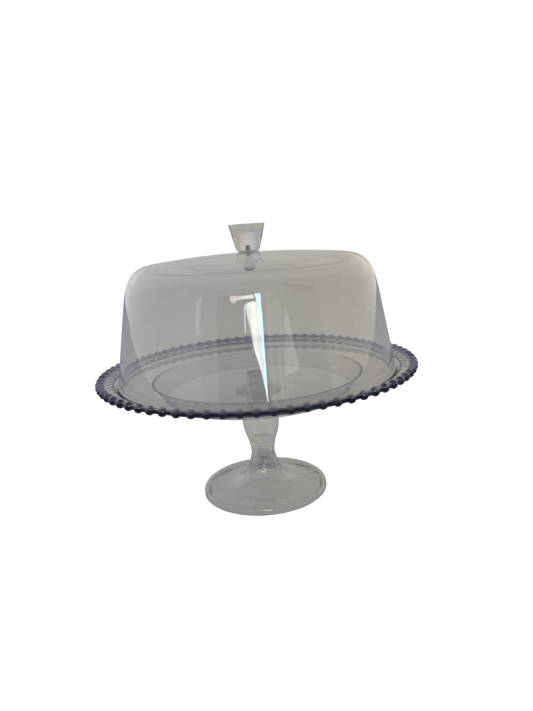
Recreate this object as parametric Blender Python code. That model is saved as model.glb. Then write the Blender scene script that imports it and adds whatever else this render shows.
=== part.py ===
"""Cake stand with a lift-off dome, all in clear moulded plastic.

A round plate with a beaded rim screws onto a hollow, flared pedestal. A clear dome stands in the
plate's well and lifts straight off. A clear knob is held on the dome by one screw from inside.

Blender units are metres, +Z is up, and the origin is the middle of the circle that the pedestal
stands on. The dimensions below are in millimetres.
"""
import math

import bmesh
import bpy
from mathutils import Matrix

MM = 0.001
GAP = 0.3                     # clearance between pieces that touch

# plate
BEAD_COUNT = 76
BEAD_RADIUS = 4.0
BEAD_CIRCLE = 156.0           # radius of the circle through the bead centres
BEAD_HEIGHT = 134.4           # height of the bead centres above the table
BEAD_SEGMENTS = 6
BEAD_RINGS = 4
BAND_HALF = 1.9               # half the height of the band that joins the beads
BAND_RADIUS = 157.4
BAND_TOP_INNER = 154.0
BAND_UNDER_INNER = 153.0
FLANGE_TOP = 132.0            # top of the flange at the edge of the well
LIP_WIDTH = 4.0               # the flange's nearly level ring beside the well
LIP_RISE = 0.5
WELL_RADIUS = 143.2           # middle of the wall round the well
WELL_LEAN = 1.0               # how far that wall leans out over its height
WELL_FILLET = 2.2
WELL_WALL = 2.0
UNDER_BEVEL = 4.5             # slope between the floor's underside and the flange's
FLOOR_TOP = 128.0
FLOOR_THICK = 3.0
WALL = 3.0
SKIRT_ROOT = 107.0            # outer radius of the skirt where it leaves the floor
SKIRT_FOOT = 94.7             # outer radius of the skirt's lower edge
SKIRT_BOTTOM = 108.0
BOSS_RADIUS = 10.5
SPIGOT_RADIUS = 8.6           # the threaded end of the boss, inside the pedestal's socket
SPIGOT_BOTTOM = 94.0
SPIGOT_BORE = 6.2

# pedestal
FOOT_RADIUS = 65.4
FOOT_EDGE = 7.0               # height of the flared foot at its edge
FOOT_ROUND = 3.0              # rounding of that edge
REST_OUTER = 64.0
REST_INNER = 60.4
REST_BEVEL = 1.4
NECK_RADIUS = 12.2
NECK_HEIGHT = 40.0
FLARE_LENGTH = 8.3            # the radius over which the flare falls by a factor e
FLARE_SPREAD = 1.9            # how much closer the flare's points stand near the neck
UNDER_INSET = 2.9             # how far in and down the flare's underside lies from its top
HOLLOW_MOUTH = 11.4           # the hollow's radius where the flare turns up into the neck
HOLLOW_NECK = 7.4             # its radius at the neck
HOLLOW_RADIUS = 6.0           # radius of its round top
HOLLOW_TOP = 54.0
BELLY_RADIUS = 19.0
BELLY_HEIGHT = 75.0
WAIST_RADIUS = 12.8
WAIST_HEIGHT = 96.0
STEM_HANDLE = 0.42            # length of the stem curves' handles, as a part of their height
SOCKET_RADIUS = 8.9
SOCKET_BOTTOM = 62.0
SOCKET_FILLET = 2.0
COLLAR_RADIUS = 24.0
COLLAR_ROOT = 17.0            # where the collar's underside turns down into the stem
COLLAR_TOP = 108.5
COLLAR_THICK = 3.8
COLLAR_BEVEL = 1.0
PAD_RADIUS = 16.0
PAD_TOP = 111.3

# dome
DOME_FOOT_RADIUS = 139.25
DOME_TAPER = 0.183            # how far the wall leans in for each millimetre of height
DOME_WALL = 4.0
DOME_ROOF = 3.4
TAPER_TOP = 200.0
SHOULDER_RISE = 28.0          # handle of the shoulder's curve along the wall
SHOULDER_REACH = 21.0         # handle of the shoulder's curve along the crown
CROWN_EDGE = 96.0             # radius where the shoulder meets the crown
CROWN_TOP = 248.8
CROWN_CURVE = 0.0006          # the crown falls by this times the square of the radius
SCREW_HOLE = 2.4

# knob and its fixings
KNOB_BASE_RADIUS = 11.4
KNOB_TOP_RADIUS = 17.9
KNOB_TOP = 275.7
KNOB_BEVEL = 0.5
RECESS_RADIUS = 15.8
RECESS_DEPTH = 5.4
RECESS_BEVEL = 1.0
GASKET_THICK = 1.2
WASHER_RADIUS = 5.8
WASHER_THICK = 1.2
WASHER_BEVEL = 0.3
SCREW_RADIUS = 2.05
SCREW_TOP = 256.4
SCREW_TIP = 0.6
HEAD_RADIUS = 4.0
HEAD_THICK = 2.5
HEAD_BEVEL = 1.3

# facets around each turned piece; a multiple of four keeps its box centred
PLATE_FACETS = BEAD_COUNT
DOME_FACETS = 52
PEDESTAL_FACETS = 28
KNOB_FACETS = 28
FIXING_FACETS = 16


def clear_scene():
    for old in list(bpy.data.objects):
        bpy.data.objects.remove(old, do_unlink=True)


def make_material(name, color, roughness, metallic=0.0, alpha=1.0):
    material = bpy.data.materials.new(name)
    material.use_nodes = True
    shader = material.node_tree.nodes["Principled BSDF"]
    shader.inputs["Base Color"].default_value = (*color, 1.0)
    shader.inputs["Roughness"].default_value = roughness
    shader.inputs["Metallic"].default_value = metallic
    shader.inputs["Alpha"].default_value = alpha
    return material


def arc(centre, radius, start, end, steps):
    """Points on a circular arc in the (radius, height) plane, angles in degrees."""
    points = []
    for step in range(steps + 1):
        angle = math.radians(start + (end - start) * step / steps)
        points.append((centre[0] + radius * math.cos(angle), centre[1] + radius * math.sin(angle)))
    return points


def bezier(start, pull_start, pull_end, end, steps):
    """Points on a cubic curve, with its two ends."""
    points = []
    for step in range(steps + 1):
        t = step / steps
        weights = ((1 - t) ** 3, 3 * t * (1 - t) ** 2, 3 * t * t * (1 - t), t ** 3)
        corners = (start, pull_start, pull_end, end)
        points.append(tuple(sum(w * c[axis] for w, c in zip(weights, corners)) for axis in (0, 1)))
    return points


def shade(mesh):
    mesh.shade_smooth()
    mesh.set_sharp_from_angle(angle=math.radians(35))


def turned(name, outline, facets, material):
    """One closed solid turned about the Z axis from an outline of (radius, height) points."""
    bm = bmesh.new()
    verts = [bm.verts.new((r * MM, 0.0, z * MM)) for r, z in outline]
    edges = [bm.edges.new(pair) for pair in zip(verts, verts[1:])]
    if outline[0][0] > 0.0:
        edges.append(bm.edges.new((verts[-1], verts[0])))
    bmesh.ops.spin(bm, geom=verts + edges, axis=(0, 0, 1), cent=(0, 0, 0), steps=facets,
                   angle=2 * math.pi, use_merge=True)
    bmesh.ops.remove_doubles(bm, verts=bm.verts, dist=0.002 * MM)
    bmesh.ops.recalc_face_normals(bm, faces=bm.faces)
    mesh = bpy.data.meshes.new(name)
    bm.to_mesh(mesh)
    bm.free()
    shade(mesh)
    mesh.materials.append(material)
    piece = bpy.data.objects.new(name, mesh)
    bpy.context.collection.objects.link(piece)
    return piece


def well_outline():
    """The plate's upper side, from the axis out to the band between the beads."""
    wall_foot = WELL_RADIUS - WELL_LEAN / 2
    wall_top = WELL_RADIUS + WELL_LEAN / 2
    points = [(0.0, FLOOR_TOP)]
    points += arc((wall_foot - WELL_FILLET, FLOOR_TOP + WELL_FILLET), WELL_FILLET, -90, 0, 2)
    points += [(wall_top, FLANGE_TOP), (wall_top + LIP_WIDTH, FLANGE_TOP + LIP_RISE)]
    points += [(BAND_TOP_INNER, BEAD_HEIGHT + BAND_HALF)]
    return points


def rim_outline():
    """The band's outer edge and the flange's underside, back down to the floor's underside."""
    under = FLOOR_TOP - FLOOR_THICK
    outside = WELL_RADIUS + WELL_WALL
    return [
        (BAND_RADIUS, BEAD_HEIGHT + BAND_HALF),
        (BAND_RADIUS, BEAD_HEIGHT - BAND_HALF),
        (BAND_UNDER_INNER, BEAD_HEIGHT - BAND_HALF),
        (outside + WALL, FLANGE_TOP - WALL + LIP_RISE),
        (outside, FLANGE_TOP - WALL),
        (outside - UNDER_BEVEL, under),
    ]


def underside_outline():
    """The skirt, the threaded boss and its bore, ending on the axis."""
    under = FLOOR_TOP - FLOOR_THICK
    lean = (SKIRT_ROOT - SKIRT_FOOT) / (under - SKIRT_BOTTOM)
    thick = WALL * math.hypot(1.0, lean)
    shoulder = PAD_TOP + GAP
    return [
        (SKIRT_ROOT, under),
        (SKIRT_FOOT, SKIRT_BOTTOM),
        (SKIRT_FOOT - thick, SKIRT_BOTTOM),
        (SKIRT_ROOT - thick, under),
        (BOSS_RADIUS, under),
        (BOSS_RADIUS, shoulder),
        (SPIGOT_RADIUS, shoulder),
        (SPIGOT_RADIUS, SPIGOT_BOTTOM),
        (SPIGOT_BORE, SPIGOT_BOTTOM),
        (SPIGOT_BORE, under - FLOOR_THICK),
        (0.0, under - FLOOR_THICK),
    ]


def make_beads(material):
    """All the beads of the rim in one helper object, each with a vertex at its outermost point."""
    bm = bmesh.new()
    spot = Matrix.Translation((BEAD_CIRCLE * MM, 0.0, BEAD_HEIGHT * MM))
    spot = spot @ Matrix.Rotation(math.pi / 2, 4, "Z")
    for index in range(BEAD_COUNT):
        place = Matrix.Rotation(2 * math.pi * index / BEAD_COUNT, 4, "Z") @ spot
        bmesh.ops.create_uvsphere(bm, u_segments=BEAD_SEGMENTS, v_segments=BEAD_RINGS,
                                  radius=BEAD_RADIUS * MM, matrix=place)
    mesh = bpy.data.meshes.new("bead_helper")
    bm.to_mesh(mesh)
    bm.free()
    mesh.materials.append(material)
    beads = bpy.data.objects.new("bead_helper", mesh)
    bpy.context.collection.objects.link(beads)
    beads.hide_render = True
    beads.display_type = "WIRE"
    return beads


def make_plate(material):
    outline = well_outline() + rim_outline() + underside_outline()
    plate = turned("plate", outline, PLATE_FACETS, material)
    join = plate.modifiers.new("beads", "BOOLEAN")
    join.operation = "UNION"
    join.solver = "EXACT"
    join.object = make_beads(material)
    return plate


def flare_height(radius):
    """Height of the pedestal's flared foot: a curve that falls fast near the neck, then levels out."""
    fall = math.exp(-(radius - NECK_RADIUS) / FLARE_LENGTH)
    return FOOT_EDGE + (NECK_HEIGHT - FOOT_EDGE) * fall


def flare_radii(inner, outer, count):
    """Radii from inner to outer, without the inner one, closest together at the inner end."""
    return [inner + (outer - inner) * (step / count) ** FLARE_SPREAD for step in range(1, count + 1)]


def upright_curve(high, low, steps):
    """A curve that leaves its upper end straight down and reaches its lower end straight down."""
    handle = STEM_HANDLE * (high[1] - low[1])
    return bezier(high, (high[0], high[1] - handle), (low[0], low[1] + handle), low, steps)


def pedestal_stem():
    """The stem's outside, from the pad that carries the plate down to the neck."""
    collar_low = COLLAR_TOP - COLLAR_THICK
    waist = (WAIST_RADIUS, WAIST_HEIGHT)
    belly = (BELLY_RADIUS, BELLY_HEIGHT)
    neck = (NECK_RADIUS, NECK_HEIGHT)
    turn_in = ((COLLAR_ROOT + WAIST_RADIUS) / 2, collar_low)
    turn_down = (WAIST_RADIUS, (collar_low + WAIST_HEIGHT) / 2)
    points = [(PAD_RADIUS, PAD_TOP), (PAD_RADIUS, COLLAR_TOP), (COLLAR_RADIUS - COLLAR_BEVEL, COLLAR_TOP)]
    points += [(COLLAR_RADIUS, COLLAR_TOP - COLLAR_BEVEL), (COLLAR_RADIUS, collar_low + COLLAR_BEVEL)]
    points += [(COLLAR_RADIUS - COLLAR_BEVEL, collar_low)]
    points += bezier((COLLAR_ROOT, collar_low), turn_in, turn_down, waist, 3)
    points += upright_curve(waist, belly, 3)[1:]
    points += upright_curve(belly, neck, 5)[1:]
    return points


def pedestal_foot():
    """The flared foot's upper side, its rounded edge and the flat ring that it stands on."""
    radii = flare_radii(NECK_RADIUS, FOOT_RADIUS - FOOT_ROUND, 8)
    points = [(radius, flare_height(radius)) for radius in radii]
    points += arc((FOOT_RADIUS - FOOT_ROUND, FOOT_EDGE - FOOT_ROUND), FOOT_ROUND, 45, 0, 1)
    points += [(FOOT_RADIUS, REST_BEVEL), (REST_OUTER, 0.0), (REST_INNER, 0.0)]
    return points


def pedestal_hollow():
    """The underside of the foot and the hollow that runs up inside the neck, ending on the axis."""
    points = []
    for radius in reversed(flare_radii(HOLLOW_MOUTH, REST_INNER - REST_BEVEL, 6)):
        points.append((radius, flare_height(radius + UNDER_INSET) - UNDER_INSET))
    points += [(HOLLOW_MOUTH, flare_height(HOLLOW_MOUTH + UNDER_INSET) - UNDER_INSET)]
    points += [(HOLLOW_NECK, NECK_HEIGHT)]
    points += arc((0.0, HOLLOW_TOP - HOLLOW_RADIUS), HOLLOW_RADIUS, 0, 90, 3)[:-1]
    points += [(0.0, HOLLOW_TOP)]
    return points


def make_pedestal(material):
    socket = [(0.0, SOCKET_BOTTOM), (SOCKET_RADIUS - SOCKET_FILLET, SOCKET_BOTTOM)]
    socket += [(SOCKET_RADIUS, SOCKET_BOTTOM + SOCKET_FILLET), (SOCKET_RADIUS, PAD_TOP)]
    outline = socket + pedestal_stem() + pedestal_foot() + pedestal_hollow()
    return turned("pedestal", outline, PEDESTAL_FACETS, material)


def crown_height(radius):
    return CROWN_TOP - CROWN_CURVE * radius * radius


def dome_side(offset, roof, steps):
    """One side of the dome's wall, from its foot to the screw hole, set in by the wall thickness."""
    foot_z = FLOOR_TOP + GAP
    foot = (DOME_FOOT_RADIUS - offset, foot_z)
    shoulder = (DOME_FOOT_RADIUS - offset - DOME_TAPER * (TAPER_TOP - foot_z), TAPER_TOP)
    edge = (CROWN_EDGE - offset, crown_height(CROWN_EDGE - offset) - roof)
    slope = 2 * CROWN_CURVE * edge[0]
    pull_low = (shoulder[0] - DOME_TAPER * SHOULDER_RISE, shoulder[1] + SHOULDER_RISE)
    pull_high = (edge[0] + SHOULDER_REACH, edge[1] - slope * SHOULDER_REACH)
    points = [foot] + bezier(shoulder, pull_low, pull_high, edge, steps)
    for radius in (edge[0] * 2 / 3, edge[0] / 3, SCREW_HOLE):
        points.append((radius, crown_height(radius) - roof))
    return points


def make_dome(material):
    outside = dome_side(0.0, 0.0, 7)
    inside = dome_side(DOME_WALL, DOME_ROOF, 7)
    return turned("dome", outside + inside[::-1], DOME_FACETS, material)


def make_knob(material):
    base = CROWN_TOP + GASKET_THICK + 2 * GAP
    recess_floor = KNOB_TOP - RECESS_DEPTH
    outline = [
        (0.0, SCREW_TOP + 2 * GAP),
        (SCREW_HOLE, SCREW_TOP + 2 * GAP),
        (SCREW_HOLE, base),
        (KNOB_BASE_RADIUS - KNOB_BEVEL, base),
        (KNOB_BASE_RADIUS, base + KNOB_BEVEL),
        (KNOB_TOP_RADIUS, KNOB_TOP - KNOB_BEVEL),
        (KNOB_TOP_RADIUS - KNOB_BEVEL, KNOB_TOP),
        (RECESS_RADIUS, KNOB_TOP),
        (RECESS_RADIUS - RECESS_BEVEL, recess_floor + RECESS_BEVEL),
        (RECESS_RADIUS - 2 * RECESS_BEVEL, recess_floor),
        (0.0, recess_floor),
    ]
    return turned("knob", outline, KNOB_FACETS, material)


def make_gasket(material):
    low = CROWN_TOP + GAP
    high = low + GASKET_THICK
    outer = KNOB_BASE_RADIUS - GAP
    outline = [(SCREW_HOLE, low), (outer, low), (outer, high), (SCREW_HOLE, high)]
    return turned("knob_gasket", outline, KNOB_FACETS, material)


def make_washer(material):
    high = CROWN_TOP - DOME_ROOF - GAP
    low = high - WASHER_THICK
    outline = [(SCREW_HOLE, low), (WASHER_RADIUS, low), (WASHER_RADIUS, high - WASHER_BEVEL)]
    outline += [(WASHER_RADIUS - WASHER_BEVEL, high), (SCREW_HOLE, high)]
    return turned("knob_washer", outline, FIXING_FACETS, material)


def make_screw(material):
    seat = CROWN_TOP - DOME_ROOF - WASHER_THICK - 2 * GAP
    head_low = seat - HEAD_THICK
    outline = [
        (0.0, head_low),
        (HEAD_RADIUS - HEAD_BEVEL, head_low),
        (HEAD_RADIUS, head_low + HEAD_BEVEL),
        (HEAD_RADIUS, seat),
        (SCREW_RADIUS, seat),
        (SCREW_RADIUS, SCREW_TOP - SCREW_TIP),
        (SCREW_RADIUS - SCREW_TIP, SCREW_TOP),
        (0.0, SCREW_TOP),
    ]
    return turned("knob_screw", outline, FIXING_FACETS, material)


def main():
    clear_scene()
    make_plate(make_material("plate_clear", (0.80, 0.80, 0.80), 0.06, alpha=0.35))
    make_pedestal(make_material("pedestal_clear", (0.70, 0.70, 0.70), 0.10, alpha=0.40))
    make_dome(make_material("dome_clear", (0.85, 0.85, 0.84), 0.04, alpha=0.25))
    make_knob(make_material("knob_clear", (0.75, 0.75, 0.74), 0.06, alpha=0.40))
    make_gasket(make_material("gasket_soft", (0.62, 0.60, 0.62), 0.45, alpha=0.6))
    make_washer(make_material("washer_steel", (0.56, 0.57, 0.57), 0.35, metallic=1.0))
    make_screw(make_material("screw_steel", (0.50, 0.51, 0.52), 0.30, metallic=1.0))


main()
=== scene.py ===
"""Looks of the cake stand with dome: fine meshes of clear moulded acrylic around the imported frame."""
import math

import bmesh
import bpy
import numpy as np
from mathutils import Matrix, Vector


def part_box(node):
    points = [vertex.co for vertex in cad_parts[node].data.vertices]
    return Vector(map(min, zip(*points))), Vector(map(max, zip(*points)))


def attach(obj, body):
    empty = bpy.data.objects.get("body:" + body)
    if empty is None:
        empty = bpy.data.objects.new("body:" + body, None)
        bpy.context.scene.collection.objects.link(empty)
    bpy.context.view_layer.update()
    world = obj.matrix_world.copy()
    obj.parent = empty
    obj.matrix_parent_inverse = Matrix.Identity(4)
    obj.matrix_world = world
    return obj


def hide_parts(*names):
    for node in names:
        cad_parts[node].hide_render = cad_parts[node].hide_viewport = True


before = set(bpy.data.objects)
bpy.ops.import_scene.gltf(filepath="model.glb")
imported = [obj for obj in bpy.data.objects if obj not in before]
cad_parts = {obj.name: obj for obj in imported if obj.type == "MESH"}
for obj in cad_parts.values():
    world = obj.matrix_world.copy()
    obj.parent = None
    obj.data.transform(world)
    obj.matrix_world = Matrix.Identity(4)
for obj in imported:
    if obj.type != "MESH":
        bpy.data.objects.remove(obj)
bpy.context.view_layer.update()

MM = 0.001

# ---------------------------------------------------------------- places taken from the frame, in millimetres
PLATE_LOW, PLATE_HIGH = (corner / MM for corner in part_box("plate"))
FOOT_LOW, FOOT_HIGH = (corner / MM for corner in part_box("pedestal"))
DOME_LOW, DOME_HIGH = (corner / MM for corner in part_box("dome"))
KNOB_LOW, KNOB_HIGH = (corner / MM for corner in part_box("knob"))
GASKET_LOW, GASKET_HIGH = (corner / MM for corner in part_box("knob_gasket"))
WASHER_LOW, WASHER_HIGH = (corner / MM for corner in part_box("knob_washer"))
SCREW_LOW, SCREW_HIGH = (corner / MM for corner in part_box("knob_screw"))
GAP = 0.3

# ---------------------------------------------------------------- plate sizes, in millimetres
BEADS = 76
BEAD_RADIUS = 4.0
BEAD_CIRCLE = PLATE_HIGH.x - BEAD_RADIUS
BEAD_Z = 134.4
BAND_HALF_HEIGHT = 1.9
BAND_FACE = BEAD_CIRCLE + 1.4
BAND_TOP_INNER = BEAD_CIRCLE - 2.0
BAND_UNDER_INNER = BEAD_CIRCLE - 1.5
RIM_TOP = (BEAD_CIRCLE - 5.0, BEAD_Z + 0.1)
RIM_UNDER = (BEAD_CIRCLE - 4.2, BEAD_Z - 3.45)

FLOOR_TOP = DOME_LOW.z - GAP
FLOOR_THICK = 3.0
FLOOR_UNDER = FLOOR_TOP - FLOOR_THICK
WELL_CLEARANCE = 3.95
WELL_RADIUS = DOME_HIGH.x + WELL_CLEARANCE
WELL_FOOT = WELL_RADIUS - 3.2
WELL_LIP = (WELL_RADIUS + 0.9, 132.2)
WELL_UNDER_FOOT = WELL_RADIUS - 3.4
FLANGE_TOP_EDGE = (BEAD_CIRCLE - 5.1, BEAD_Z + 0.05)
FLANGE_UNDER_EDGE = (BEAD_CIRCLE - 4.3, BEAD_Z - 3.5)
FLANGE_UNDER_RUN = (-6.3, -1.3)
FLANGE_ROOT = (WELL_RADIUS + 2.0, 129.58)
FLANGE_ROOT_LOW = (WELL_RADIUS + 1.2, 129.3)

PEBBLE_ROWS = 2
PEBBLE_DEPTH = 0.6
PEBBLE_INNER, PEBBLE_OUTER = WELL_RADIUS + 1.6, BEAD_CIRCLE - 5.0

SKIRT_DEPTH = 14.0
SKIRT_LOW = PLATE_LOW.z + SKIRT_DEPTH
SKIRT_FOOT_OUTER = 94.7
SKIRT_FOOT_WALL = 2.2
SKIRT_ROOT_OUTER, SKIRT_ROOT_INNER = 107.0, 105.3
BOSS_RADIUS = 10.5
SPIGOT_SHOULDER = FOOT_HIGH.z + GAP
SPIGOT_CORE = 8.1
SPIGOT_THREAD_HEIGHT, SPIGOT_PITCH = 0.5, 3.0
BORE_MOUTH, BORE_END = 6.2, 5.8
BORE_ROOF = FLOOR_UNDER - 3.5


# ---------------------------------------------------------------- pedestal sizes, in millimetres
SOCKET_RADIUS, SOCKET_FLOOR = 8.9, 62.0
PAD_RADIUS = 16.0
COLLAR_RADIUS, COLLAR_LOW_RADIUS = 24.0, 23.6
COLLAR_TOP, COLLAR_LOW = FOOT_HIGH.z - 2.8, FOOT_HIGH.z - 6.6
STEM_TOP = (17.0, COLLAR_LOW - 0.6)
WAIST_RADIUS, WAIST_Z = 12.8, 96.0
BELLY_RADIUS, BELLY_Z = 19.0, 75.0
NECK_RADIUS, NECK_Z = 12.2, 40.0
FOOT_EDGE = 7.0
FLARE = 8.3
FLARE_SPREAD = 1.9
FOOT_WALL = 2.9
HOLLOW_MOUTH, HOLLOW_NECK = 11.6, 7.4


# ---------------------------------------------------------------- dome and knob sizes, in millimetres
DOME_WALL, DOME_ROOF = 4.0, 3.4
DOME_TAPER = 0.183
SHOULDER_Z = 200.0
SHOULDER_RISE, SHOULDER_REACH = 28.0, 21.0
CROWN_EDGE = 96.0
CROWN_CURVE = 0.0006
CROWN_FLAT = 6.0
SCREW_HOLE = 2.4
KNOB_FOOT = 11.4
KNOB_HOLE_TOP = 257.0
RECESS_DEPTH = 5.4
RECESS_MOUTH, RECESS_FLOOR = 15.8, 14.6


# ---------------------------------------------------------------- outlines
def filleted(corners, steps=6):
    """An outline from (radius, height, fillet) corners, with each corner rounded and held by close points."""
    points = []
    last = len(corners) - 1
    for index, (r, z, fillet) in enumerate(corners):
        here = np.array((r, z))
        if fillet == 0 or index in (0, last):
            points.append(here)
            continue
        before = np.array(corners[index - 1][:2]) - here
        after = np.array(corners[index + 1][:2]) - here
        reach_before, reach_after = np.linalg.norm(before), np.linalg.norm(after)
        before, after = before / reach_before, after / reach_after
        half_angle = 0.5 * math.acos(max(-1.0, min(1.0, float(before @ after))))
        cut = min(fillet / math.tan(half_angle), 0.45 * reach_before, 0.45 * reach_after)
        radius = cut * math.tan(half_angle)
        middle = before + after
        centre = here + middle / np.linalg.norm(middle) * radius / math.sin(half_angle)
        start, end = here + before * cut - centre, here + after * cut - centre
        sweep = math.pi - 2 * half_angle
        hold = 0.35 * cut
        points.append(here + before * (cut + hold))
        for step in range(steps + 1):
            t = step / steps
            a, b = math.sin((1 - t) * sweep), math.sin(t * sweep)
            points.append(centre + (start * a + end * b) / math.sin(sweep))
        points.append(here + after * (cut + hold))
    return points


def bezier(start, pull_start, pull_end, end, steps):
    """Points along a curve from start to end, pulled towards two handles."""
    corners = [np.array(corner, dtype=float) for corner in (start, pull_start, pull_end, end)]
    points = []
    for step in range(steps + 1):
        t = step / steps
        weights = ((1 - t) ** 3, 3 * t * (1 - t) ** 2, 3 * t * t * (1 - t), t ** 3)
        points.append(sum(weight * corner for weight, corner in zip(weights, corners)))
    return points


# ---------------------------------------------------------------- meshes
def turn_faces_outward(mesh):
    """The meshes below aren't all wound one way, so the faces of each closed one are turned outward here."""
    bm = bmesh.new()
    bm.from_mesh(mesh)
    bmesh.ops.recalc_face_normals(bm, faces=bm.faces)
    bm.to_mesh(mesh)
    bm.free()


def add_piece(name, verts, faces, material, body, node):
    """A smooth piece, from vertices in millimetres, that rides on a body and stands for a CAD node."""
    mesh = bpy.data.meshes.new(name)
    mesh.from_pydata([tuple(v * MM for v in vert) for vert in verts], [], faces)
    mesh.validate()
    turn_faces_outward(mesh)
    mesh.shade_smooth()
    mesh.materials.append(material)
    piece = bpy.data.objects.new(name, mesh)
    bpy.context.collection.objects.link(piece)
    clear = material.node_tree.nodes["Principled BSDF"].inputs["Transmission Weight"].default_value == 1.0
    piece.visible_shadow = not clear
    piece.visible_diffuse = not clear
    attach(piece, body)
    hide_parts(node)
    return piece


def revolved(outline, count, shape=None):
    """Vertices and faces turned from an outline. shape(radius, height, angles) may vary a radius by angle."""
    verts, faces, rows = [], [], []
    for r, z in outline:
        if r < 1e-6:
            rows.append([len(verts)])
            verts.append((0.0, 0.0, z))
            continue
        angles = 2 * math.pi * np.arange(count) / count
        radii = np.full(count, r) if shape is None else shape(r, z, angles)
        rows.append(list(range(len(verts), len(verts) + count)))
        verts += [(q * math.cos(a), q * math.sin(a), z) for q, a in zip(radii, angles)]
    closed = len(rows[0]) > 1
    pairs = list(zip(rows, rows[1:])) + ([(rows[-1], rows[0])] if closed else [])
    for upper, lower in pairs:
        for k in range(count):
            n = (k + 1) % count
            if len(upper) == 1:
                faces.append((upper[0], lower[k], lower[n]))
            elif len(lower) == 1:
                faces.append((upper[n], upper[k], lower[0]))
            else:
                faces.append((upper[k], lower[k], lower[n], upper[n]))
    return verts, faces


RIDGE_SHARPNESS = 1.5


def thread(core, height, pitch, low, high):
    """A shape for revolved(): a rounded helical ridge on the stretch between two heights."""
    def shape(r, z, angles):
        if not low < z < high or abs(r - core) > 1e-6:
            return np.full(len(angles), r)
        fade = min(1.0, (z - low) / pitch, (high - z) / pitch)
        turn = z / pitch - angles / (2 * math.pi)
        wave = 0.5 + 0.5 * np.cos(2 * math.pi * turn)
        return r + fade * height * wave ** RIDGE_SHARPNESS
    return shape


# ---------------------------------------------------------------- plate
COLUMNS_PER_BEAD = 14
COLUMNS_PER_GAP = 3
INNER_STEP = 8
RIM_COLUMNS = BEADS * COLUMNS_PER_BEAD
INNER_COLUMNS = RIM_COLUMNS // INNER_STEP
FLOOR_SPLIT = 132.0
UNDER_SPLIT = 112.0
SPLIT_WIDTH = 2.0
RIM_TURNS = 34
BEAD_BLEND = 0.3


def rim_angles():
    """Column angles: close together across each bead, with a few in each gap."""
    half_bead = math.asin(BEAD_RADIUS / BEAD_CIRCLE)
    pitch = 2 * math.pi / BEADS
    across = COLUMNS_PER_BEAD - COLUMNS_PER_GAP
    offsets = [half_bead * math.sin(math.pi * (k / (across - 1) - 0.5)) for k in range(across)]
    spare = pitch - 2 * half_bead
    offsets += [half_bead + spare * (k + 1) / (COLUMNS_PER_GAP + 1) for k in range(COLUMNS_PER_GAP)]
    angles = np.array([[bead * pitch + offset for offset in offsets] for bead in range(BEADS)]).ravel()
    bead_offsets = np.tile([min(offset, pitch - offset, key=abs) for offset in offsets], BEADS)
    return angles, bead_offsets


def soft_max(a, b, blend):
    """The greater of two values, with a rounded change from one to the other."""
    return 0.5 * (a + b + np.sqrt((a - b) ** 2 + blend ** 2))


def rim_section():
    """The beaded edge seen from the bead's centre: polar angles and radii of the plain band and flange."""
    band = filleted([
        (*RIM_TOP, 0), (BAND_TOP_INNER, BEAD_Z + BAND_HALF_HEIGHT, 1.2),
        (BAND_FACE, BEAD_Z + BAND_HALF_HEIGHT, 0.7), (BAND_FACE, BEAD_Z - BAND_HALF_HEIGHT, 0.7),
        (BAND_UNDER_INNER, BEAD_Z - BAND_HALF_HEIGHT, 0.8), (*RIM_UNDER, 0),
    ])
    fine = []
    for a, b in zip(band, band[1:]):
        fine += [a + (b - a) * t for t in np.linspace(0, 1, 12, endpoint=False)]
    fine = np.array(fine + [band[-1]]) - (BEAD_CIRCLE, BEAD_Z)
    polar = np.arctan2(fine[:, 1], fine[:, 0])
    polar[polar < -0.999 * math.pi] += 2 * math.pi
    reach = np.hypot(fine[:, 0], fine[:, 1])
    order = np.argsort(-polar)
    turns = np.linspace(polar.max(), polar.min(), RIM_TURNS)
    return turns, np.interp(-turns, -polar[order], reach[order])


def plate_section():
    """The plate's outline beside its rim: up the slanted wall of the well, and back underneath."""
    top = filleted([
        (FLOOR_SPLIT, FLOOR_TOP, 0), (WELL_FOOT, FLOOR_TOP, 1.6), (*WELL_LIP, 2.5), (*FLANGE_TOP_EDGE, 0),
    ], 4)
    under = [np.array(FLANGE_UNDER_EDGE) + t * np.array(FLANGE_UNDER_RUN) for t in np.linspace(0, 1, 10)]
    under += filleted([
        (*FLANGE_ROOT, 0), (*FLANGE_ROOT_LOW, 1.5),
        (WELL_UNDER_FOOT, FLOOR_UNDER, 6.0), (UNDER_SPLIT, FLOOR_UNDER, 0),
    ], 4)
    return top, under


def plate_underside():
    """From inside the flat underside: skirt, boss, threaded spigot and bore, ending on the axis."""
    low = PLATE_LOW.z
    outline = filleted([
        (UNDER_SPLIT, FLOOR_UNDER, 0), (SKIRT_ROOT_OUTER, FLOOR_UNDER, 0.8),
        (SKIRT_FOOT_OUTER, SKIRT_LOW, 0.9), (SKIRT_FOOT_OUTER - SKIRT_FOOT_WALL, SKIRT_LOW, 0.9),
        (SKIRT_ROOT_INNER, FLOOR_UNDER, 0.5), (BOSS_RADIUS, FLOOR_UNDER, 1.0),
        (BOSS_RADIUS, SPIGOT_SHOULDER, 0.5), (SPIGOT_CORE, SPIGOT_SHOULDER, 0.3),
        (SPIGOT_CORE, SPIGOT_SHOULDER - 2.0, 0),
    ])
    thread_heights = np.arange(SPIGOT_SHOULDER - 2.3, low + 1.2, -0.4)
    outline += [np.array((SPIGOT_CORE, z)) for z in thread_heights]
    outline += filleted([
        (SPIGOT_CORE, low + 1.2, 0), (SPIGOT_CORE, low, 0.5), (BORE_MOUTH, low, 0.5),
        (BORE_END, BORE_ROOF, 1.5), (0.0, BORE_ROOF, 0),
    ])[1:]
    ridge = thread(SPIGOT_CORE, SPIGOT_THREAD_HEIGHT, SPIGOT_PITCH, low + 1.0, SPIGOT_SHOULDER - 1.0)
    return outline, ridge


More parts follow.
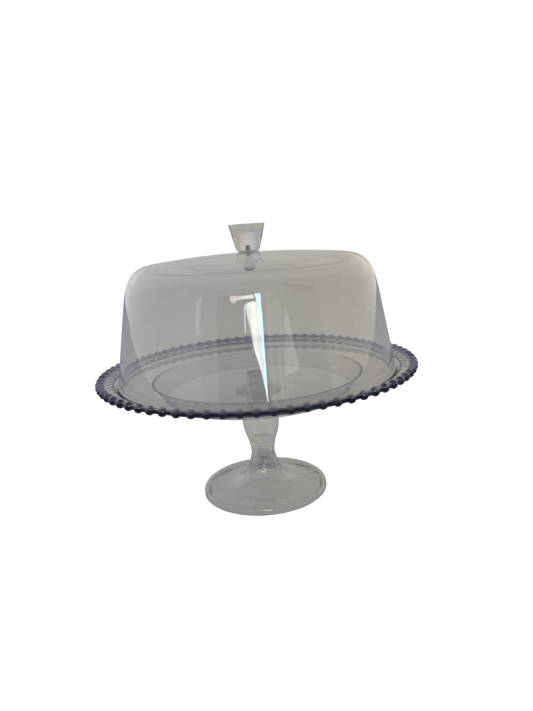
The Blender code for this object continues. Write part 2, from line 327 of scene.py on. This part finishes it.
def pebbles(radius, angles):
    """Depth of the rounded bumps under the flange: two rings of them, set in turn like bricks."""
    across = PEBBLE_ROWS * (radius - PEBBLE_INNER) / (PEBBLE_OUTER - PEBBLE_INNER)
    if not 0.0 < across < PEBBLE_ROWS:
        return np.zeros(len(angles))
    around = 0.5 + 0.5 * np.cos(BEADS * angles + math.pi * int(across))
    return PEBBLE_DEPTH * math.sin(math.pi * (across % 1.0)) ** 2 * around


def build_plate(material):
    angles, bead_offsets = rim_angles()
    top, under = plate_section()
    turns, band = rim_section()
    bead = np.sqrt(np.maximum(0.0, BEAD_RADIUS ** 2 - (BEAD_CIRCLE * np.sin(bead_offsets)) ** 2))
    rows = [(np.full(RIM_COLUMNS, r), np.full(RIM_COLUMNS, z)) for r, z in top]
    for turn, reach in zip(turns, band):
        lift = soft_max(reach, bead, BEAD_BLEND)
        rows.append((BEAD_CIRCLE + lift * math.cos(turn), BEAD_Z + lift * math.sin(turn)))
    for r, z in under:
        rows.append((np.full(RIM_COLUMNS, r), z - pebbles(r, angles)))
    verts, faces = [], []
    for radii, heights in rows:
        verts += list(zip(radii * np.cos(angles), radii * np.sin(angles), heights))
    for row in range(len(rows) - 1):
        a, b = row * RIM_COLUMNS, (row + 1) * RIM_COLUMNS
        for k in range(RIM_COLUMNS):
            n = (k + 1) % RIM_COLUMNS
            faces.append((a + k, b + k, b + n, a + n))
    inner_angles = angles[::INNER_STEP]

    def inner_part(outline, outer_row, shape=None):
        """Fewer columns towards the middle, joined to the rim's columns by flat many-sided faces."""
        part_rows = []
        for r, z in outline:
            if r < 1e-6:
                part_rows.append([len(verts)])
                verts.append((0.0, 0.0, z))
                continue
            radii = np.full(INNER_COLUMNS, r) if shape is None else shape(r, z, inner_angles)
            part_rows.append(list(range(len(verts), len(verts) + INNER_COLUMNS)))
            heights = np.full(INNER_COLUMNS, z)
            verts.extend(zip(radii * np.cos(inner_angles), radii * np.sin(inner_angles), heights))
        outer = outer_row * RIM_COLUMNS
        for g in range(INNER_COLUMNS):
            n = (g + 1) % INNER_COLUMNS
            arc = [outer + (g * INNER_STEP + k) % RIM_COLUMNS for k in range(INNER_STEP + 1)]
            faces.append((part_rows[0][g], *arc, part_rows[0][n]))
        for upper, lower in zip(part_rows, part_rows[1:]):
            for k in range(INNER_COLUMNS):
                n = (k + 1) % INNER_COLUMNS
                if len(lower) == 1:
                    faces.append((upper[k], lower[0], upper[n]))
                else:
                    faces.append((upper[k], lower[k], lower[n], upper[n]))

    floor = [(r, FLOOR_TOP) for r in (FLOOR_SPLIT - SPLIT_WIDTH, 100.0, 60.0, 25.0, 0.0)]
    inner_part(floor, 0)
    underside, ridge = plate_underside()
    underside[0] = np.array((UNDER_SPLIT - SPLIT_WIDTH, FLOOR_UNDER))
    inner_part(underside, len(rows) - 1, ridge)
    return add_piece("clear_plate", verts, faces, material, "stand", "plate")


# ---------------------------------------------------------------- pedestal
def flare_height(radius):
    return FOOT_EDGE + (NECK_Z - FOOT_EDGE) * math.exp(-(radius - NECK_RADIUS) / FLARE)


def build_pedestal(material):
    """Socket, pad and collar, then down the stem and over the foot, and back up its hollow to the axis."""
    edge, top = FOOT_HIGH.x, FOOT_HIGH.z
    outline = filleted([
        (0.0, SOCKET_FLOOR, 0), (SOCKET_RADIUS, SOCKET_FLOOR, 2.2), (SOCKET_RADIUS, top, 0.4),
        (PAD_RADIUS, top, 0.5), (PAD_RADIUS, COLLAR_TOP, 0.4), (COLLAR_RADIUS, COLLAR_TOP, 1.4),
        (COLLAR_LOW_RADIUS, COLLAR_LOW, 1.2), (*STEM_TOP, 0),
    ])
    waist, belly, neck = (WAIST_RADIUS, WAIST_Z), (BELLY_RADIUS, BELLY_Z), (NECK_RADIUS, NECK_Z)
    outline += bezier(STEM_TOP, (13.8, COLLAR_LOW - 1.6), (WAIST_RADIUS, 100.0), waist, 10)[1:]
    outline += bezier(waist, (WAIST_RADIUS, 88.0), (BELLY_RADIUS, 84.0), belly, 16)[1:]
    outline += bezier(belly, (BELLY_RADIUS, 62.0), (NECK_RADIUS, 56.0), neck, 24)[1:]
    radii = NECK_RADIUS + (edge - 4.5 - NECK_RADIUS) * np.linspace(0, 1, 34)[1:] ** FLARE_SPREAD
    outline += [np.array((r, flare_height(r))) for r in radii]
    outline += filleted([
        (edge - 4.0, FOOT_EDGE, 0), (edge - 0.5, FOOT_EDGE - 0.8, 2.6), (edge, 0.5, 0.9),
        (edge - 1.6, 0.0, 0.7), (edge - 5.0, 0.0, 0.8), (edge - 7.2, 3.3, 1.2), (edge - 14.0, 3.9, 0),
    ], 8)
    inner = np.linspace(edge - 16.0, HOLLOW_MOUTH, 30)
    outline += [np.array((r, flare_height(r + FOOT_WALL) - FOOT_WALL)) for r in inner]
    last = outline[-1]
    outline += bezier(last, (9.4, last[1] + 5.0), (7.6, 32.0), (HOLLOW_NECK, NECK_Z), 8)[1:]
    outline += filleted([(7.3, NECK_Z + 1.0, 0), (6.0, 54.0, 4.0), (0.0, 54.0, 0)])
    verts, faces = revolved(outline, 192)
    return add_piece("clear_pedestal", verts, faces, material, "stand", "pedestal")


# ---------------------------------------------------------------- dome
def crown_height(radius):
    return DOME_HIGH.z + CROWN_CURVE * (SCREW_HOLE ** 2 - radius * radius)


def dome_wall(wall, roof):
    """One skin of the dome, from near its foot to near the screw hole, set in by a wall and a roof."""
    foot_z = DOME_LOW.z
    side_height = SHOULDER_Z - foot_z
    foot_radius = DOME_HIGH.x - wall
    shoulder = (foot_radius - DOME_TAPER * side_height, SHOULDER_Z)
    edge = (CROWN_EDGE - wall, crown_height(CROWN_EDGE - wall) - roof)
    slope = 2 * CROWN_CURVE * edge[0]
    side_handle = (shoulder[0] - DOME_TAPER * SHOULDER_RISE, SHOULDER_Z + SHOULDER_RISE)
    crown_handle = (edge[0] + SHOULDER_REACH, edge[1] - slope * SHOULDER_REACH)
    side_heights = np.linspace(3.0, 0.96 * side_height, 10)
    side = [np.array((foot_radius - DOME_TAPER * h, foot_z + h)) for h in side_heights]
    roof_radii = np.linspace(edge[0], CROWN_FLAT, 16)[1:]
    roof_line = [np.array((r, crown_height(r) - roof)) for r in roof_radii]
    return side + bezier(shoulder, side_handle, crown_handle, edge, 30) + roof_line


def build_dome(material):
    outside, inside = dome_wall(0.0, 0.0), dome_wall(DOME_WALL, DOME_ROOF)
    foot, top, under = DOME_LOW.z, DOME_HIGH.z, DOME_HIGH.z - DOME_ROOF
    outline = outside + filleted([
        (CROWN_FLAT, top, 0), (SCREW_HOLE, top, 0.3), (SCREW_HOLE, under, 0.3), (CROWN_FLAT, under, 0),
    ], 3)[1:-1]
    outline += inside[::-1]
    outer, inner = outside[0], inside[0]
    outline += filleted([
        (*inner, 0), (inner[0] + 0.5, foot, 0.9), (outer[0] + 0.5, foot, 0.9), (*outer, 0),
    ], 5)[1:-1]
    verts, faces = revolved(outline, 256)
    return add_piece("clear_dome", verts, faces, material, "dome", "dome")


# ---------------------------------------------------------------- knob and fixings
def build_knob(material):
    base, top = KNOB_LOW.z, KNOB_HIGH.z
    floor = top - RECESS_DEPTH
    outline = filleted([
        (0.0, KNOB_HOLE_TOP, 0), (SCREW_HOLE, KNOB_HOLE_TOP, 0.3), (SCREW_HOLE, base, 0.3),
        (KNOB_FOOT, base, 0.7), (KNOB_HIGH.x, top, 0.5), (RECESS_MOUTH, top, 0.4),
        (RECESS_FLOOR, floor, 0.9), (0.0, floor, 0),
    ])
    verts, faces = revolved(outline, 128)
    return add_piece("clear_knob", verts, faces, material, "dome", "knob")


def build_gasket(material):
    low, high, outer, hole = GASKET_LOW.z, GASKET_HIGH.z, GASKET_HIGH.x - 0.8, 2.6
    middle = (low + high) / 2
    loop = filleted([
        (hole, middle, 0), (hole, low, 0.3), (outer, low, 0.4), (outer, high, 0.4), (hole, high, 0.3),
        (hole, middle, 0),
    ])[:-1]
    verts, faces = revolved(loop, 96)
    return add_piece("soft_gasket", verts, faces, material, "dome", "knob_gasket")


def build_washer(material):
    low, high, outer = WASHER_LOW.z, WASHER_HIGH.z, WASHER_HIGH.x
    middle = (low + high) / 2
    loop = filleted([
        (SCREW_HOLE, middle, 0), (SCREW_HOLE, low, 0.15), (outer, low, 0.25), (outer, high, 0.35),
        (SCREW_HOLE, high, 0.15), (SCREW_HOLE, middle, 0),
    ], 4)[:-1]
    verts, faces = revolved(loop, 72)
    return add_piece("steel_washer", verts, faces, material, "dome", "knob_washer")


def build_screw(material):
    low, high = SCREW_LOW.z, SCREW_HIGH.z
    seat = WASHER_LOW.z - GAP
    head, crown, core = SCREW_HIGH.x, 2.4, 1.7
    socket, socket_depth = 1.25, 1.3
    ridge = thread(core, 0.35, 0.7, seat + 0.4, high - 0.3)

    def shape(r, z, angles):
        """A six-sided driver socket under the head, and the thread's ridge above it."""
        if abs(r - socket) < 0.01:
            from_corner = (angles + math.pi / 6) % (math.pi / 3) - math.pi / 6
            return r * math.cos(math.pi / 6) / np.cos(from_corner)
        return ridge(r, z, angles)

    outline = [np.array((0.0, low + socket_depth)), np.array((socket, low + socket_depth)),
               np.array((socket, low + 0.15))]
    outline += filleted([
        (socket + 0.25, low, 0), (crown, low, 0.3), (head, low + 1.4, 1.4), (head, seat, 0.25),
        (core, seat, 0.1), (core, seat + 0.3, 0),
    ])
    outline += [np.array((core, z)) for z in np.arange(seat + 0.4, high - 0.5, 0.08)]
    outline += filleted([(core, high - 0.5, 0), (core - 0.5, high, 0.2), (0.0, high, 0)])
    verts, faces = revolved(outline, 48, shape)
    return add_piece("steel_screw", verts, faces, material, "dome", "knob_screw")


# ---------------------------------------------------------------- materials
class Nodes:
    """Short calls for building one node tree."""

    def __init__(self, material):
        self.tree = material.node_tree
        self.coord = self.tree.nodes.new("ShaderNodeTexCoord").outputs["Object"]

    def add(self, kind, **settings):
        node = self.tree.nodes.new(kind)
        for key, value in settings.items():
            setattr(node, key, value)
        return node

    def link(self, source, target):
        self.tree.links.new(source, target)

    def mapped(self, scale, rotation=(0.0, 0.0, 0.0)):
        node = self.add("ShaderNodeMapping")
        node.inputs["Scale"].default_value = scale
        node.inputs["Rotation"].default_value = rotation
        self.link(self.coord, node.inputs["Vector"])
        return node.outputs["Vector"]

    def noise(self, vector, scale, detail=2.0, roughness=0.5, distortion=0.0):
        node = self.add("ShaderNodeTexNoise")
        node.inputs["Scale"].default_value = scale
        node.inputs["Detail"].default_value = detail
        node.inputs["Roughness"].default_value = roughness
        node.inputs["Distortion"].default_value = distortion
        self.link(vector, node.inputs["Vector"])
        return node.outputs["Fac"]

    def ramp(self, value, low, high, out_low=0.0, out_high=1.0):
        """A smooth change from one output to another while the value goes from low to high."""
        node = self.add("ShaderNodeMapRange", interpolation_type="SMOOTHSTEP")
        for key, number in (("From Min", low), ("From Max", high), ("To Min", out_low), ("To Max", out_high)):
            node.inputs[key].default_value = number
        self.link(value, node.inputs["Value"])
        return node.outputs["Result"]

    def math(self, operation, a, b):
        node = self.add("ShaderNodeMath", operation=operation)
        for socket, value in zip(node.inputs, (a, b)):
            if isinstance(value, (int, float)):
                socket.default_value = value
            else:
                self.link(value, socket)
        return node.outputs["Value"]

    def bump(self, height, distance, strength=1.0, normal=None):
        node = self.add("ShaderNodeBump")
        node.inputs["Distance"].default_value = distance
        node.inputs["Strength"].default_value = strength
        self.link(height, node.inputs["Height"])
        if normal is not None:
            self.link(normal, node.inputs["Normal"])
        return node.outputs["Normal"]

    def scratches(self, scale, width, rotation, seed_scale):
        """Thin curved lines: the level line of a slow noise, broken up by a second noise."""
        vector = self.mapped(scale, rotation)
        line = self.noise(vector, 1.0, detail=0.0)
        near = self.math("ABSOLUTE", self.math("SUBTRACT", line, 0.5), 0.0)
        thin = self.ramp(near, 0.0, width, 1.0, 0.0)
        patches = self.ramp(self.noise(self.coord, seed_scale, detail=1.0), 0.62, 0.68)
        return self.math("MULTIPLY", thin, patches)

    def two_colors(self, first, second, factor):
        """A mix from one colour to another, by a factor from other nodes."""
        node = self.add("ShaderNodeMix", data_type="RGBA")
        for key, color in (("A", first), ("B", second)):
            if isinstance(color, tuple):
                node.inputs[key].default_value = (*color, 1.0)
            else:
                self.link(color, node.inputs[key])
        self.link(factor, node.inputs["Factor"])
        return node.outputs["Result"]

    def flow_streaks(self):
        """Streaks of moulding flow up the stem and out over the foot: noise that varies with angle only."""
        outward = self.add("ShaderNodeVectorMath", operation="NORMALIZE")
        self.link(self.mapped((1.0, 1.0, 0.0)), outward.inputs["Vector"])
        return self.noise(outward.outputs["Vector"], 4.0, 1.5, 0.5)


def new_material(name):
    material = bpy.data.materials.new(name)
    material.use_nodes = True
    return material, material.node_tree.nodes["Principled BSDF"], Nodes(material)


# Where the painted shade and light change, in metres: out from the axis the rim turns darker and bluer
# (painted shade on the beads), and up from the foot the pedestal turns lighter (painted highlight on the
# stem).
RIM_SHADE_START = (BEAD_CIRCLE - 6.0) * MM
RIM_SHADE_END = (BEAD_CIRCLE - 3.0) * MM
STEM_LIGHT_START, STEM_LIGHT_END = 0.030, 0.058
ACRYLIC_IOR = 1.49
SCRATCH_DEPTH = 0.00002
SCRATCH_ROUGHNESS = 0.25


def clear_acrylic(name, tint, depth_tint, density, haze, scratch, wave=0.0, painted_light_tint=None, streaks=0.0):
    """Clear moulded acrylic: smooth, transparent, tinted by depth, with smudges, scratches and mould waves.

    An optional second tint (tint, directions, start, end) is painted light and shade, not the acrylic's own
    colour: the surface tint turns into it between two distances from the origin, measured along the given
    directions.
    """
    material, shader, nodes = new_material(name)
    shader.inputs["Base Color"].default_value = (*tint, 1.0)
    # Painted light and shade: by position, the surface colour turns into the second tint, which darkens the
    # rim and lightens the stem.
    if painted_light_tint:
        painted_tint_color, directions, start, end = painted_light_tint
        distance = nodes.add("ShaderNodeVectorMath", operation="LENGTH")
        nodes.link(nodes.mapped(directions), distance.inputs["Vector"])
        color = nodes.two_colors(tint, painted_tint_color, nodes.ramp(distance.outputs["Value"], start, end))
        nodes.link(color, shader.inputs["Base Color"])
    shader.inputs["IOR"].default_value = ACRYLIC_IOR
    shader.inputs["Transmission Weight"].default_value = 1.0
    smudge = nodes.ramp(nodes.noise(nodes.coord, 34.0, 3.0, 0.6, 0.8), 0.52, 0.78, 0.0, haze)
    lines = nodes.scratches((50.0, 50.0, 20.0), 0.008, (0.4, 0.2, 0.0), 52.0)
    more = nodes.scratches((22.0, 70.0, 34.0), 0.007, (0.0, 0.7, 0.5), 44.0)
    marks = nodes.math("MAXIMUM", lines, more)
    rough = nodes.math("ADD", smudge, nodes.math("MULTIPLY", marks, SCRATCH_ROUGHNESS * scratch))
    nodes.link(rough, shader.inputs["Roughness"])
    swell = nodes.noise(nodes.coord, 16.0, 1.0)
    normal = nodes.bump(swell, wave)
    normal = nodes.bump(marks, -SCRATCH_DEPTH * scratch, 1.0, normal)
    if streaks:
        normal = nodes.bump(nodes.flow_streaks(), streaks, 1.0, normal)
    nodes.link(normal, shader.inputs["Normal"])
    volume = nodes.add("ShaderNodeVolumeAbsorption")
    volume.inputs["Color"].default_value = (*depth_tint, 1.0)
    volume.inputs["Density"].default_value = density
    nodes.link(volume.outputs["Volume"], nodes.tree.nodes["Material Output"].inputs["Volume"])
    return material


def soft_gasket_material():
    """A cloudy translucent washer, a little mottled."""
    material, shader, nodes = new_material("gasket_soft")
    color = nodes.two_colors((0.30, 0.28, 0.31), (0.42, 0.39, 0.42), nodes.noise(nodes.coord, 700.0, 3.0))
    nodes.link(color, shader.inputs["Base Color"])
    nodes.link(nodes.ramp(nodes.noise(nodes.coord, 260.0), 0.3, 0.7, 0.35, 0.55), shader.inputs["Roughness"])
    nodes.link(nodes.bump(nodes.noise(nodes.coord, 900.0), 0.00005), shader.inputs["Normal"])
    shader.inputs["Transmission Weight"].default_value = 0.5
    shader.inputs["IOR"].default_value = 1.42
    return material


def plated_steel(name, shade):
    """Plated steel with fine turning marks round its axis and a few dull spots."""
    material, shader, nodes = new_material(name)
    shader.inputs["Metallic"].default_value = 1.0
    bright, dull = (shade, shade, shade * 1.02), (shade * 0.7, shade * 0.68, shade * 0.64)
    color = nodes.two_colors(bright, dull, nodes.ramp(nodes.noise(nodes.coord, 900.0, 4.0), 0.55, 0.75))
    nodes.link(color, shader.inputs["Base Color"])
    rings = nodes.add("ShaderNodeTexWave", wave_type="RINGS", rings_direction="Z")
    rings.inputs["Scale"].default_value = 900.0
    rings.inputs["Distortion"].default_value = 1.5
    nodes.link(nodes.coord, rings.inputs["Vector"])
    nodes.link(nodes.ramp(rings.outputs["Fac"], 0.0, 1.0, 0.22, 0.38), shader.inputs["Roughness"])
    nodes.link(nodes.bump(rings.outputs["Fac"], 0.00002), shader.inputs["Normal"])
    return material


# ---------------------------------------------------------------- studio
WHITE = (1.0, 1.0, 1.0)
FLOOR_MIRRORED = (0.21, 0.21, 0.30)
FLOOR_BENT_LEFT, FLOOR_BENT_RIGHT = (0.335, 0.335, 0.340), (0.350, 0.335, 0.300)
FLOOR_HALF = 6.0
FLOOR_DROP = 0.0001
WALL_LEFT, WALL_RIGHT = (1.0, 1.0, 1.02), (1.05, 1.0, 0.88)
STRIPE_UPWARD, STRIPE_STRENGTH = 0.22, 0.18


def pale_floor():
    """A large pale floor, white where it is seen directly.

    Rays bent by the clear pieces meet it as a grey floor, and mirrored ones as a darker, bluish floor.
    """
    material, shader, nodes = new_material("pale_floor")
    path = nodes.add("ShaderNodeLightPath")
    split = nodes.add("ShaderNodeSeparateXYZ")
    nodes.link(nodes.coord, split.inputs["Vector"])
    bent = nodes.two_colors(FLOOR_BENT_LEFT, FLOOR_BENT_RIGHT, nodes.ramp(split.outputs["X"], -0.6, 0.5))
    color = nodes.two_colors(WHITE, FLOOR_MIRRORED, path.outputs["Is Glossy Ray"])
    color = nodes.two_colors(color, bent, path.outputs["Is Transmission Ray"])
    nodes.link(color, shader.inputs["Base Color"])
    shader.inputs["Roughness"].default_value = 0.9
    shader.inputs["Specular IOR Level"].default_value = 0.0
    mesh = bpy.data.meshes.new("floor")
    corners = [(x * FLOOR_HALF, y * FLOOR_HALF, 0.0) for x, y in ((-1, -1), (1, -1), (1, 1), (-1, 1))]
    mesh.from_pydata(corners, [], [(0, 1, 2, 3)])
    mesh.materials.append(material)
    floor = bpy.data.objects.new("floor", mesh)
    floor.location.z = FOOT_LOW.z * MM - FLOOR_DROP
    bpy.context.collection.objects.link(floor)


def studio_world():
    """Even white light for all that is lit or seen directly, and a grey room for what is mirrored or bent.

    Mirrored, its walls are light at the front and at the sides and dim at the back. Bent, it is dim
    all round, lighter overhead, with a lighter stripe low on the back wall.
    """
    world = bpy.data.worlds.new("studio")
    world.use_nodes = True
    bpy.context.scene.world = world
    nodes = Nodes(world)
    split = nodes.add("ShaderNodeSeparateXYZ")
    nodes.link(nodes.coord.node.outputs["Generated"], split.inputs["Vector"])
    sideways, forward, upward = (split.outputs[axis] for axis in "XYZ")
    walls = nodes.two_colors(WALL_LEFT, WALL_RIGHT, nodes.ramp(sideways, -0.3, 0.3))

    beside = nodes.ramp(nodes.math("ABSOLUTE", sideways, 0.0), 0.12, 0.6, 0.0, 0.55)
    front = nodes.ramp(forward, -0.5, 0.2, 1.25, 0.5)
    mirrored = nodes.math("MAXIMUM", front, nodes.math("ADD", beside, 0.5))

    around = nodes.ramp(forward, -0.6, 0.1, 0.18, 0.375)
    overhead = nodes.ramp(upward, 0.2, 0.9, 1.0, 1.8)
    off_stripe = nodes.math("ABSOLUTE", nodes.math("SUBTRACT", upward, STRIPE_UPWARD), 0.0)
    stripe = nodes.ramp(off_stripe, 0.02, 0.09, STRIPE_STRENGTH, 0.0)
    stripe = nodes.math("MULTIPLY", stripe, nodes.ramp(forward, 0.3, 0.8))
    bent = nodes.math("ADD", nodes.math("MULTIPLY", around, overhead), stripe)

    path = nodes.add("ShaderNodeLightPath")
    glossy, through = path.outputs["Is Glossy Ray"], path.outputs["Is Transmission Ray"]
    not_through = nodes.math("SUBTRACT", 1.0, through)
    mirrored = nodes.math("MULTIPLY", not_through, mirrored)
    level = nodes.math("ADD", mirrored, nodes.math("MULTIPLY", through, bent))
    room = nodes.add("ShaderNodeVectorMath", operation="SCALE")
    nodes.link(walls, room.inputs["Vector"])
    nodes.link(level, room.inputs["Scale"])
    color = nodes.two_colors(WHITE, room.outputs["Vector"], nodes.math("MAXIMUM", glossy, through))
    nodes.link(color, nodes.tree.nodes["Background"].inputs["Color"])


def area_light(name, place, target, width, height, power, color):
    """A soft lamp that lights the pieces but isn't itself seen in them."""
    light = bpy.data.lights.new(name, "AREA")
    light.shape = "RECTANGLE"
    light.size, light.size_y = width, height
    light.energy = power
    light.color = color
    lamp = bpy.data.objects.new(name, light)
    lamp.location = place
    lamp.rotation_euler = (Vector(target) - Vector(place)).to_track_quat("-Z", "Y").to_euler()
    lamp.visible_glossy = False
    lamp.visible_transmission = False
    bpy.context.collection.objects.link(lamp)


PANEL_DISTANCE = 2.6
PANEL_SPACING = 0.002


def light_panel(layer, name, corners, color, strength, streaks=0.0):
    """A flat shape on the studio wall at the front, in metres across and up, seen only in reflections.

    A panel of a higher layer lies just in front of the lower ones. streaks is how much its light varies.
    """
    material = bpy.data.materials.new(name)
    material.use_nodes = True
    nodes = Nodes(material)
    nodes.tree.nodes.remove(nodes.tree.nodes["Principled BSDF"])
    glow = nodes.add("ShaderNodeEmission")
    glow.inputs["Color"].default_value = (*color, 1.0)
    folds = nodes.noise(nodes.mapped((9.0, 1.0, 0.7)), 1.0, 3.0, 0.6)
    nodes.link(nodes.ramp(folds, 0.35, 0.65, strength * (1.0 - streaks), strength), glow.inputs["Strength"])
    nodes.link(glow.outputs["Emission"], nodes.tree.nodes["Material Output"].inputs["Surface"])
    mesh = bpy.data.meshes.new(name)
    depth = layer * PANEL_SPACING - PANEL_DISTANCE
    mesh.from_pydata([(x, depth, z) for x, z in corners], [], [tuple(range(len(corners)))])
    mesh.materials.append(material)
    panel = bpy.data.objects.new("panel_" + name, mesh)
    panel.visible_camera = False
    panel.visible_diffuse = False
    panel.visible_transmission = False
    panel.visible_shadow = False
    bpy.context.collection.objects.link(panel)


def rectangle(left, right, low, high):
    return [(left, low), (right, low), (right, high), (left, high)]


def window_wall():
    """The wall that the front of the dome mirrors: each panel's name, corners, colour, strength, streaks."""
    curtain = [
        (0.30, 0.31), (0.25, 0.50), (0.285, 0.68), (0.27, 0.92), (0.20, 1.14), (-0.17, 1.10),
        (-0.22, 0.95), (-0.17, 0.76), (-0.06, 0.66), (-0.02, 0.575), (0.165, 0.465),
    ]
    daylight = [
        (0.30, 0.28), (0.335, 0.28), (0.375, 0.72), (0.385, 1.50), (0.15, 1.50), (0.24, 1.06),
        (0.285, 0.66), (0.26, 0.5),
    ]
    beige_curtain = [(0.46, -0.3), (1.30, -0.3), (1.36, 1.5), (1.15, 1.95), (0.46, 1.95)]
    folded_light = [(1.02, 0.42), (1.72, 0.45), (1.55, 0.62), (1.38, 0.92)]
    curtain_head = [(-0.46, 1.24), (0.12, 1.26), (0.10, 1.44), (-0.44, 1.42)]
    warm_glow = [(-0.80, 1.20), (-0.62, 1.12), (-0.46, 1.26), (-0.46, 1.46), (-0.84, 1.50)]
    sky_gap = [(-0.30, 0.66), (-0.24, 0.66), (-0.19, 1.04), (-0.26, 1.04)]
    return [
        ("frame", rectangle(-2.3, 1.45, -0.4, 2.15), (1.0, 0.99, 0.96), 0.9, 0.0),
        ("side_wall", rectangle(1.45, 4.2, -0.4, 2.6), (1.0, 0.96, 0.86), 0.7, 0.0),
        ("doorway", rectangle(-1.42, 0.42, -0.4, 1.56), (1.0, 1.0, 1.0), 0.04, 0.0),
        ("beige_curtain", beige_curtain, (1.0, 0.93, 0.80), 1.8, 0.6),
        ("folded_light", folded_light, (1.0, 0.96, 0.86), 3.2, 0.2),
        ("left_window", rectangle(-2.8, -2.42, 0.75, 1.7), (0.80, 0.86, 1.0), 3.5, 0.2),
        ("curtain", curtain, (0.92, 1.0, 0.92), 18.0, 0.45),
        ("curtain_head", curtain_head, (0.98, 0.98, 0.92), 15.0, 0.3),
        ("warm_glow", warm_glow, (1.0, 0.84, 0.74), 12.0, 0.3),
        ("daylight", daylight, (0.52, 0.86, 1.0), 24.0, 0.0),
        ("sky_gap", sky_gap, (0.62, 0.84, 1.0), 9.0, 0.0),
    ]


def make_lights():
    """Soft lamps above, and the window wall."""
    middle = (0.0, 0.0, 0.18)
    area_light("soft_left", (-1.6, -1.2, 2.2), middle, 1.4, 1.4, 16.0, (0.94, 0.97, 1.0))
    area_light("soft_right", (1.8, -0.6, 1.9), middle, 1.2, 1.2, 12.0, (1.0, 0.96, 0.90))
    for layer, panel in enumerate(window_wall()):
        light_panel(layer, *panel)


def make_camera():
    """The camera of a phone held a little above the dome, tilted down and rolled by a few degrees."""
    distance, height = 0.55122, 0.26468
    yaw, pitch, roll = math.radians(1.111), math.radians(12.380), math.radians(-4.050)
    round_axis = math.radians(0.936)
    camera = bpy.data.cameras.new("camera")
    camera.sensor_width = 36.0
    camera.lens = 27.929
    camera.clip_start = 0.02
    holder = bpy.data.objects.new("camera", camera)
    forward = Vector((math.sin(yaw) * math.cos(pitch), math.cos(yaw) * math.cos(pitch), -math.sin(pitch)))
    level_right = Vector((math.cos(yaw), -math.sin(yaw), 0.0))
    level_up = level_right.cross(forward)
    right = level_right * math.cos(roll) + level_up * math.sin(roll)
    up = level_up * math.cos(roll) - level_right * math.sin(roll)
    pose = Matrix((right, up, -forward)).transposed().to_4x4()
    pose.translation = Vector((0.0, -distance, height))
    holder.matrix_world = Matrix.Rotation(round_axis, 4, "Z") @ pose
    bpy.context.collection.objects.link(holder)
    bpy.context.scene.camera = holder


def set_light_paths():
    """Enough bounces for light to pass through every wall of the stacked clear pieces."""
    scene = bpy.context.scene
    scene.view_settings.view_transform = "Standard"
    scene.cycles.max_bounces = 40
    scene.cycles.transmission_bounces = 40
    scene.cycles.glossy_bounces = 24
    scene.cycles.diffuse_bounces = 3


def main():
    make_camera()
    rim_painted_shade = ((0.38, 0.38, 0.48), (1.0, 1.0, 0.0), RIM_SHADE_START, RIM_SHADE_END)
    stem_painted_light = ((0.99, 0.99, 0.985), (0.0, 0.0, 1.0), STEM_LIGHT_START, STEM_LIGHT_END)
    # Painted shade: the plate's surface turns darker and bluer towards the beaded rim, all round, standing in
    # for the dark navy look that refraction gives the beads.
    build_plate(clear_acrylic(
        "plate_clear", tint=(0.80, 0.795, 0.75), depth_tint=(0.09, 0.09, 0.62), density=32.0,
        haze=0.03, scratch=0.4, painted_light_tint=rim_painted_shade))
    # Painted light and shade: the pedestal's surface tint is dark grey at the foot and turns near-clear up
    # the stem. The foot reads darker and the stem lighter, standing in for the stem's highlights.
    build_pedestal(clear_acrylic(
        "pedestal_clear", tint=(0.69, 0.685, 0.69), depth_tint=(0.40, 0.39, 0.46), density=4.0,
        haze=0.05, scratch=0.4, wave=0.00004, painted_light_tint=stem_painted_light, streaks=0.0009))
    build_dome(clear_acrylic(
        "dome_clear", tint=(0.97, 0.97, 0.965), depth_tint=(0.5, 0.5, 0.55), density=6.0,
        haze=0.025, scratch=1.0, wave=0.00002))
    build_knob(clear_acrylic(
        "knob_clear", tint=(0.98, 0.98, 0.975), depth_tint=(0.45, 0.45, 0.48), density=3.0,
        haze=0.03, scratch=0.5))
    build_gasket(soft_gasket_material())
    build_washer(plated_steel("washer_steel", 0.42))
    build_screw(plated_steel("screw_steel", 0.36))
    pale_floor()
    studio_world()
    make_lights()
    set_light_paths()


main()
